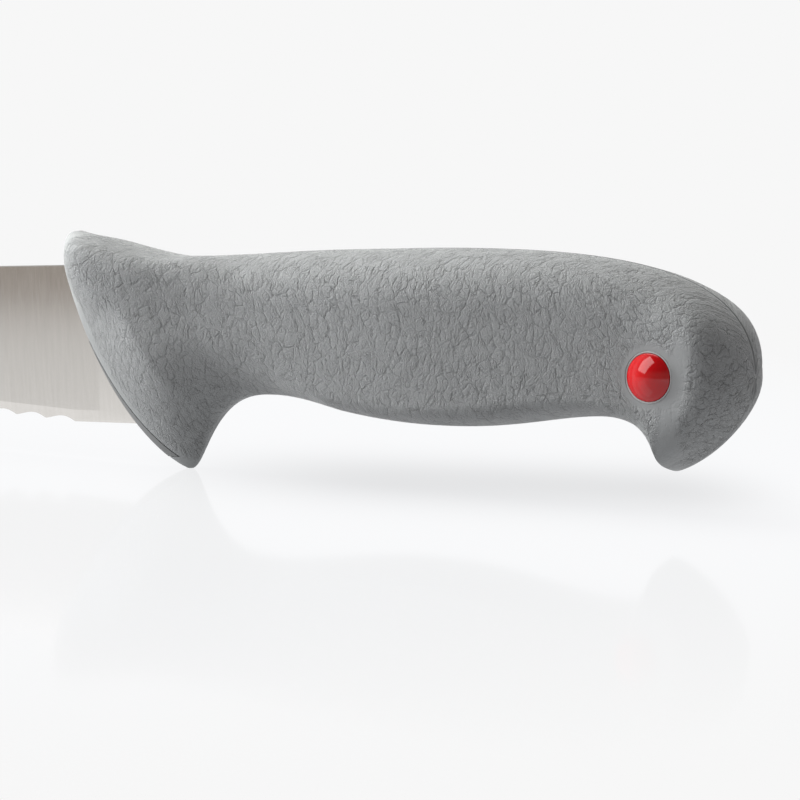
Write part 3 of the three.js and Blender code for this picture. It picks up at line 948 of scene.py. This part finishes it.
# Steel brushed from spine to edge
def makeSteelMaterial():
    material, tree, shader = newMaterial("bladeSteel", Metallic=1.0)
    where = placeInMillimetres(tree)
    brushed = []
    for kind in ("stroke", "broad"):
        stretched = calcVector(tree, "MULTIPLY", where, (1, 1, blade[kind + "Stretch"]))
        brushed.append(noiseOf(tree, stretched, *blade[kind + "Noise"]))
    strokes, broad = brushed
    tone = total(tree, product(tree, strokes, 0.5), product(tree, broad, 0.5))
    put(tree, shader.inputs["Base Color"], mixed(tree, tone, blade["dark"], blade["pale"]))
    haze = product(tree, noiseOf(tree, where, *blade["hazeNoise"]), blade["haze"])
    rough = total(tree, ramped(tree, strokes, *noiseSpan, *blade["roughness"]), haze)
    put(tree, shader.inputs["Roughness"], rough)
    bumped(tree, shader, strokes, blade["relief"], blade["reliefStrength"])
    return material


def makeBlade(material):
    tip = (-bladeLength, blade["spine"] - blade["tipDrop"])
    edgeRun, edge = pathOf(curveThrough(blade["heelEnd"], tip, blade["heelLeave"], blade["tipArrive"]))
    scallops = math.floor(edgeRun[-1] / blade["scallopPitch"])
    heelX, heelZ = tang["heel"]
    endX, endZ = blade["heelEnd"]
    stations = np.linspace(tip[0], endX, round((endX - tip[0]) / blade["step"]))
    stations = np.concatenate([stations, np.linspace(endX, heelX, blade["heelSteps"])[1:]])
    low = np.interp(stations, edge[::-1, 0], edge[::-1, 1])
    low = np.where(stations > endX, np.interp(stations, [endX, heelX], [endZ, heelZ]), low)
    count = np.interp(stations, edge[::-1, 0], edgeRun[::-1]) / edgeRun[-1] * scallops
    scalloped = np.where(stations < endX, 1.0, 0.0)
    spine = blade["spine"] - np.maximum(tip[0] + blade["tipDrop"] - stations, 0)
    tall = np.maximum(spine - low, 1e-3)
    ahead = np.clip(-stations / bladeLength, 0, 1)
    grindTop = blade["grindTop"] + (blade["grindTopAtTip"] - blade["grindTop"]) * ahead
    border = heelZ + (blade["edgeAtTip"] - heelZ) * ahead

    def halfAt(height):
        share = np.clip((height - border) / (grindTop - border), 0, 1)
        return blade["borderHalf"] + (blade["half"] - blade["borderHalf"]) * share

    rounded = np.minimum(blade["spineRound"], tall * blade["tipRound"])
    bevel = low + np.minimum(blade["bevel"], tall * blade["tipBevel"])
    hone = low + np.minimum(blade["hone"], tall * blade["tipHone"])
    grind = np.clip(grindTop, bevel + tall * blade["tipGrind"], spine - 2 * rounded)
    top = spine - rounded
    honeHalf = np.minimum(blade["honeHalf"], halfAt(bevel) * blade["honeShare"])
    rows = [
        (low, np.full_like(low, blade["edgeHalf"])),
        (hone, honeHalf),
        (bevel, halfAt(bevel)),
        (grind, halfAt(grind)),
        (top, halfAt(top)),
        (spine, np.maximum(halfAt(spine) - rounded, blade["spineLeast"])),
    ]
    rows = [(height, -half) for height, half in rows] + [(height, half) for height, half in rows[::-1]]
    points = np.stack([np.stack([frontX + stations, half, height], 1) for height, half in rows], 1)
    total, ring = points.shape[:2]
    index = np.arange(total * ring).reshape(total, ring)
    faces = facesBetween(index) + [index[0].tolist(), index[-1].tolist()]
    piece = newPiece("bladeSteel", points.reshape(-1, 3), faces)
    share = np.zeros((total, ring))
    share[:, [0, 1, -1, -2]] = scalloped[:, None]
    addLayer(piece, "scallop", "FLOAT", "value", np.repeat(count[:, None], ring, axis=1))
    addLayer(piece, "scallopShare", "FLOAT", "value", share)
    cleanUp(piece)
    sizes = {"Scallop_depth": blade["scallopDepth"], "Scallop_skew": blade["scallopSkew"]}
    applyTree(piece, makeScallopTree(), Material=material, **sizes)
    (rootX, rootZ), shoulder, top = tang["root"], tang["shoulder"], tang["top"]
    tipSide, under, over = -bladeLength - 10, -5, 50  # clear of the blade, which is cut at its root alone
    keep = [
        (tipSide, under), (heelX + 1, under), (heelX + 1, top), (shoulder, top),
        (rootX, rootZ), (rootX - 1, over), (tipSide, over),
    ]
    cut = blade["cutHalf"]
    combine(piece, prism("rootCut", [(frontX + x, z) for x, z in keep], -cut, cut), "INTERSECT")
    outline = tangOutline(0)
    bar = [(frontX + shoulder, tang["bottom"])] + outline[2:5] + [(frontX + shoulder, top)]
    combine(piece, prism("tangBar", bar, -tang["half"], tang["half"]), "UNION")
    for station in tang["pegStations"]:
        hole = rodAlongY("pegHole", tang["pegRadius"] + tang["gap"], frontX + station, tangMiddle, -cut, cut)
        combine(piece, hole, "DIFFERENCE")
    finishPiece(piece, material, "knife", "blade", blade["sharpAngle"])


makeBlade(makeSteelMaterial())


# Hard core halves: they show as a smooth rib along the front of the grip

core = {
    "fromButt": 9.0,
    "seamHalf": 0.15,
    "pegReach": 5.0,
    "bore": 4.76,
    "ribStep": 0.15,  # the rib lies this much lower than the skin
    "ribGap": 0.34,
    "ribFootGap": 0.06,
    "ribEnd": 0.12,  # share of the handle
    "halfSpace": (-20.0, 160.0, 60.0),  # from and to along the handle, then up and out
    "sharpAngle": 32.0,
    "plastic": {
        "specular": 0.5,
        "dark": (0.1, 0.103, 0.105, 1),
        "pale": (0.125, 0.128, 0.13, 1),
        "toneNoise": (6.0, 3),
        "wearNoise": (0.8, 3),
        "roughness": (0.38, 0.5),
        "reliefNoise": (0.18, 2),
        "relief": 0.012,
        "reliefStrength": 1.0,
    },
}


# The room for the root of the blade, as thin towards the edge as the blade is
def bladeRoom(gap):
    (heelX, heelZ), rootZ = tang["heel"], tang["root"][1]
    thin, thick = blade["borderHalf"] + gap, blade["half"] + gap
    corners = [(-thin, heelZ - gap), (-thick, blade["grindTop"]), (-thick, rootZ + gap)]
    section = corners + [(-y, z) for y, z in corners[::-1]]
    start, end = frontX - tang["roomAhead"], frontX + heelX + gap
    room = barBetween("bladeRoom", *([(x, y, z) for y, z in section] for x in (start, end)))
    outline = [(start, rootZ + gap), (start, heelZ - gap)] + tangOutline(gap)
    combine(room, prism("outline", outline, -blade["cutHalf"], blade["cutHalf"]), "INTERSECT")
    return room


def makeCore(name, side, material):
    end = shareAt(handle["butt"][0] - core["fromButt"], handle["butt"][1])
    piece = loft(name, end, coreSection(0), 0)
    rib = loft("rib", core["ribEnd"], lambda share: (0.0, 1.0, core["ribStep"]), 0)
    lip = lipOutline(core["ribGap"], core["ribFootGap"])
    combine(rib, prism("lip", lip, -beyond, beyond), "INTERSECT")
    combine(piece, rib, "UNION")
    start, stop, reach = core["halfSpace"]
    edges = [side * core["seamHalf"], side * reach]
    half = [(frontX + start, 0), (frontX + stop, 0), (frontX + stop, reach), (frontX + start, reach)]
    combine(piece, prism("halfSpace", half, min(edges), max(edges)), "INTERSECT")
    gap = tang["gap"]
    combine(piece, bladeRoom(gap), "DIFFERENCE")
    bar = [(frontX + tang["shoulder"], tang["bottom"] - gap)] + tangOutline(gap)[2:6]
    combine(piece, prism("barRoom", bar, -tang["half"] - gap, tang["half"] + gap), "DIFFERENCE")
    radius, reach = tang["pegRadius"], core["pegReach"]
    for station in tang["pegStations"]:
        x = frontX + station
        if side < 0:
            combine(piece, rodAlongY("peg", radius, x, tangMiddle, -reach, reach), "UNION")
        else:
            hole = rodAlongY("pegHole", radius + gap, x, tangMiddle, 0, reach + gap)
            combine(piece, hole, "DIFFERENCE")
    combine(piece, rodAlongY("bore", core["bore"], plugX, plugZ, -beyond, beyond), "DIFFERENCE")
    node = "core_near" if side < 0 else "core_far"
    finishPiece(piece, material, "knife", node, core["sharpAngle"])


coreMaterial = makePlastic("hardCore", core["plastic"])
makeCore("coreNear", -1, coreMaterial)
makeCore("coreFar", 1, coreMaterial)


# Colour plugs and the bush that lines their bore

plug = {
    "radius": 4.2,
    "seat": 1.4,
    "dome": 2.0,
    "domeSteps": 28,
    "rim": 0.12,
    "rimShare": 0.3,  # of the rim, where its round is steepest
    "stemRadius": 2.8,
    "stemLength": 5.5,
    "stemTaper": (0.4, 0.5),  # in and up from the stem's foot
    "slot": 0.8,
    "slotReach": 9.0,
    "gap": 0.06,
    "bushRim": 0.3,
    "bushRound": 0.09,
    "bushSteps": 5,
    "sides": 128,
    "weld": 1e-4,
    "sharpAngle": 40.0,
    "bushPlastic": {
        "specular": 0.5,
        "dark": (0.25, 0.255, 0.26, 1),
        "pale": (0.3, 0.305, 0.31, 1),
        "toneNoise": (2.5, 2),
        "wearNoise": (0.5, 2),
        "roughness": (0.3, 0.42),
        "reliefNoise": (0.2, 2),
        "relief": 0.006,
        "reliefStrength": 1.0,
    },
    "plugPlastic": {
        "specular": 0.48,
        "dark": (0.32, 0.001, 0.003, 1),
        "pale": (0.36, 0.002, 0.004, 1),
        "toneNoise": (3.0, 2),
        "wearNoise": (0.7, 3),
        "roughness": (0.05, 0.09),
        "reliefNoise": (1.1, 1),
        "relief": 0.004,
        "reliefStrength": 0.6,
    },
}
plugStation = plugX - frontX
plugHalf = sideAt(plugStation, plugZ)
bushRadius = plug["radius"] + plug["gap"] + plug["bushRim"]
ahead, behind = (sideAt(plugStation + way * bushRadius, plugZ) for way in (-1, 1))
plugLean = (behind - ahead) / (2 * bushRadius)


# A profile of radius and depth turned about the plug's axis, its depths leant to follow the flank
def turned(name, profile, side, closed):
    radius, depth = np.array(profile).T[:, :, None]
    angles = np.linspace(0, 2 * math.pi, plug["sides"], endpoint=False)
    across, up = radius * np.cos(angles), radius * np.sin(angles)
    depth = side * depth * (1 + plugLean * across / plugHalf)
    points = np.stack([plugX + across, depth, plugZ + up], -1).reshape(-1, 3)
    index = np.arange(len(points)).reshape(-1, plug["sides"])
    if closed:
        index = np.vstack([index, index[:1]])
    return cleanUp(newPiece(name, points, facesBetween(index)), plug["weld"])


def makeBush(material):
    seat = plugHalf - plug["seat"] - plug["gap"]
    seatRadius, boreRadius = plug["radius"] + plug["gap"], plug["stemRadius"] + plug["gap"]
    inner, outer = [], []
    for turn in np.linspace(0, math.pi / 2, plug["bushSteps"]):
        start, end = (plug["bushRound"] * (1 - part) for part in (math.cos(turn), math.sin(turn)))
        inner.append((seatRadius + start, plugHalf - end))
        outer.append((bushRadius - end, plugHalf - start))
    near = [(boreRadius, seat), (seatRadius, seat)] + inner + outer
    profile = near + [(radius, -depth) for radius, depth in near[::-1]]
    piece = turned("plugBush", profile, -1, True)
    finishPiece(piece, material, "knife", "plug_bush", plug["sharpAngle"])


def makePlug(name, side, body, material):
    radius, dome, rim, stem = (plug[key] for key in ("radius", "dome", "rim", "stemRadius"))
    domeRadius = (radius**2 + dome**2) / (2 * dome)
    angles = np.linspace(0, math.asin((radius - rim) / domeRadius), plug["domeSteps"])
    profile = [(domeRadius * math.sin(a), plugHalf + dome - domeRadius * (1 - math.cos(a))) for a in angles]
    edge, steep = profile[-1][1], rim * plug["rimShare"]
    seat = plugHalf - plug["seat"]
    foot = seat - plug["stemLength"]
    taperIn, taperUp = plug["stemTaper"]
    profile += [(radius - steep, edge - steep), (radius, edge - rim), (radius, seat), (stem, seat)]
    profile += [(stem, foot + taperUp), (stem - taperIn, foot), (0, foot)]
    piece = turned(name, profile, side, False)
    slot, reach = plug["slot"], plug["slotReach"]
    corners = ((-1, -1), (1, -1), (1, 1), (-1, 1))
    cut = [(plugX + x * slot / 2, plugZ + z * reach) for x, z in corners]
    depths = [side * (foot - slot), side * (seat - 2 * slot)]
    combine(piece, prism("slot", cut, min(depths), max(depths)), "DIFFERENCE")
    finishPiece(piece, material, body, body, plug["sharpAngle"])


makeBush(makePlastic("bushPlastic", plug["bushPlastic"]))
plugMaterial = makePlastic("plugRed", plug["plugPlastic"])
makePlug("plugNear", -1, "plug_near", plugMaterial)
makePlug("plugFar", 1, "plug_far", plugMaterial)


# Floor, world and lights

stage = {
    "slope": 4.4,  # degrees: the butt stands off the floor
    "radius": 900.0,
    "sides": 96,
    "middle": (60.0, -20.0),  # of the bright pool, in millimetres along and across the floor
    "reach": (280.0, 400.0),  # where the pool has faded away, along and across
    "fadeFrom": 0.45,
    "glow": 0.92,
    "glowColour": (0.985, 0.99, 1.0, 1),
    "albedo": 0.02,
    "sheen": 0.09,
    "sheenRoughness": 0.07,
    "sheenColour": (0.96, 0.96, 1.0, 1),
    # Painted shadow: the floor's glow is dimmed in a soft band under the handle
    "paintedShadow": 0.19,  # a soft shade lies under the handle, turned from it by some degrees
    "paintedShadowTurn": 27.0,
    "paintedShadowAcross": -5.0,  # how far its middle lies from the foot of the guard
    "paintedShadowHalf": 38.0,
    "paintedShadowEnds": ((-14.0, 40.0), (86.0, 116.0)),
}


# The floor's glow, dimmed by a painted shadow that lies in a soft band under the handle
def floorGlowWithPaintedShadow(tree, fromFoot):
    turn = math.radians(stage["paintedShadowTurn"])
    along = calcVector(tree, "DOT_PRODUCT", fromFoot, (math.cos(turn), math.sin(turn), 0))
    across = calcVector(tree, "DOT_PRODUCT", fromFoot, (-math.sin(turn), math.cos(turn), 0))
    off = calc(tree, "DIVIDE", calc(tree, "SUBTRACT", across, stage["paintedShadowAcross"]), stage["paintedShadowHalf"])
    paintedShadow = calc(tree, "EXPONENT", product(tree, off, off, -1))
    (start, full), (ebb, end) = stage["paintedShadowEnds"]
    paintedShadow = product(tree, paintedShadow, ramped(tree, along, start, full), ramped(tree, along, ebb, end, 1, 0))
    left = calc(tree, "SUBTRACT", 1, product(tree, paintedShadow, stage["paintedShadow"]))
    return product(tree, left, stage["glow"])


# A floor that glows by itself, with a painted shadow under the handle and a little gloss, and fades into the
# background
def makeFloor():
    slope = math.tan(math.radians(stage["slope"]))
    footX = frontX + handle["guardTip"][0]
    count, radius = stage["sides"], stage["radius"]
    angles = np.linspace(0, 2 * math.pi, count, endpoint=False)
    rim = [(footX + radius * math.cos(a), radius * math.sin(a)) for a in angles]
    points = [(x * mm, y * mm, -(x - footX) * slope * mm) for x, y in [(footX, 0)] + rim]
    floor = newPiece("floor", points, [(0, 1 + i, 1 + (i + 1) % count) for i in range(count)])
    material, tree, shader = newMaterial(
        "paleFloor",
        Base_Color=(stage["albedo"], stage["albedo"], stage["albedo"], 1),
        Roughness=1.0,
        Specular_IOR_Level=0.0,
        Emission_Color=stage["glowColour"],
    )
    where = placeInMillimetres(tree)
    fromFoot = calcVector(tree, "SUBTRACT", where, (footX, 0, 0))
    put(tree, shader.inputs["Emission Strength"], floorGlowWithPaintedShadow(tree, fromFoot))
    gloss = tree.nodes.new("ShaderNodeBsdfGlossy")
    gloss.inputs["Color"].default_value = stage["sheenColour"]
    gloss.inputs["Roughness"].default_value = stage["sheenRoughness"]
    clear = tree.nodes.new("ShaderNodeBsdfTransparent")
    (middleX, middleY), (reachX, reachY) = stage["middle"], stage["reach"]
    flat = calcVector(tree, "SUBTRACT", where, (middleX, middleY, 0))
    far = calcVector(tree, "LENGTH", calcVector(tree, "MULTIPLY", flat, (1 / reachX, 1 / reachY, 0)))
    gone = ramped(tree, far, stage["fadeFrom"], 1)
    surface = shader.outputs[0]
    for share, over in ((stage["sheen"], gloss), (gone, clear)):
        blend = tree.nodes.new("ShaderNodeMixShader")
        for socket, value in zip(blend.inputs, (share, surface, over.outputs[0])):
            put(tree, socket, value)
        surface = blend.outputs[0]
    put(tree, tree.nodes["Material Output"].inputs["Surface"], surface)
    floor.data.materials.append(material)


room = {
    "behind": (0.93, 0.93, 0.93, 1),
    "behindFrom": -0.3,  # how far from the camera a look has to point to meet what is behind the knife
    "behindTo": 0.6,
    "before": (0.42, 0.375, 0.34, 1),
    "above": (0.1, 0.095, 0.09, 1),  # high up on the side of the camera
    "aboveFrom": 0.15,
    "aboveTo": 0.5,
    "below": (1.25, 1.25, 1.29, 1),
    "belowFrom": -0.06,  # how far down a look has to point to meet the pale ground
    "belowTo": -0.25,
    "lightsAim": (60.0, 0.0, 20.0),  # from the front of the handle
    "lights": (
        # name, degrees from square on towards the butt, rise, lean of its top,
        # distance, width, height, power, colour, whether it is mirrored
        ("keyLight", -39.0, 42.0, 17.0, 1100, 740, 1180, 11.4, (1, 1, 1), True),
        ("topLight", -115.0, 63.0, 0.0, 1100, 1000, 800, 18.0, (1, 1, 0.94), False),
        ("tipLight", -86.0, 14.0, 0.0, 1100, 600, 800, 42.0, (1, 1, 0.98), False),
    ),
}


def makeWorld():
    world = bpy.data.worlds.new("studio")
    bpy.context.scene.world = world
    world.use_nodes = True
    tree = world.node_tree
    look = tree.nodes.new("ShaderNodeTexCoord").outputs["Generated"]
    back = -Vector((towardsCamera.x, towardsCamera.y, 0)).normalized()
    away = calcVector(tree, "DOT_PRODUCT", look, tuple(back))
    rise = calcVector(tree, "DOT_PRODUCT", look, (0, 0, 1))
    high = ramped(tree, rise, room["aboveFrom"], room["aboveTo"])
    seen = mixed(tree, high, room["before"], room["above"])
    seen = mixed(tree, ramped(tree, away, room["behindFrom"], room["behindTo"]), seen, room["behind"])
    low = ramped(tree, rise, room["belowTo"], room["belowFrom"], 1, 0)
    seen = mixed(tree, low, seen, room["below"])
    direct = tree.nodes.new("ShaderNodeLightPath").outputs["Is Camera Ray"]
    put(tree, tree.nodes["Background"].inputs["Color"], mixed(tree, direct, seen, room["behind"]))


def makeLights():
    aim = Vector(room["lightsAim"]) + Vector((frontX, 0, 0))
    for name, turn, rise, lean, distance, width, height, power, colour, mirrored in room["lights"]:
        turn, rise, lean = (math.radians(angle) for angle in (turn, rise, lean))
        out = directionOf(turn, rise)
        level = Vector((math.cos(turn), math.sin(turn), 0))
        across = level * math.cos(lean) - out.cross(level) * math.sin(lean)
        data = bpy.data.lights.new(name, "AREA")
        data.shape = "RECTANGLE"
        data.size, data.size_y = width * mm, height * mm
        data.energy, data.color = power, colour
        light = placeByAxes(name, data, (across, out.cross(across), out), aim + out * distance)
        light.visible_glossy = mirrored


makeFloor()
makeWorld()
makeLights()
bpy.context.scene.view_settings.view_transform = "Standard"
print("floor, world and lights made")
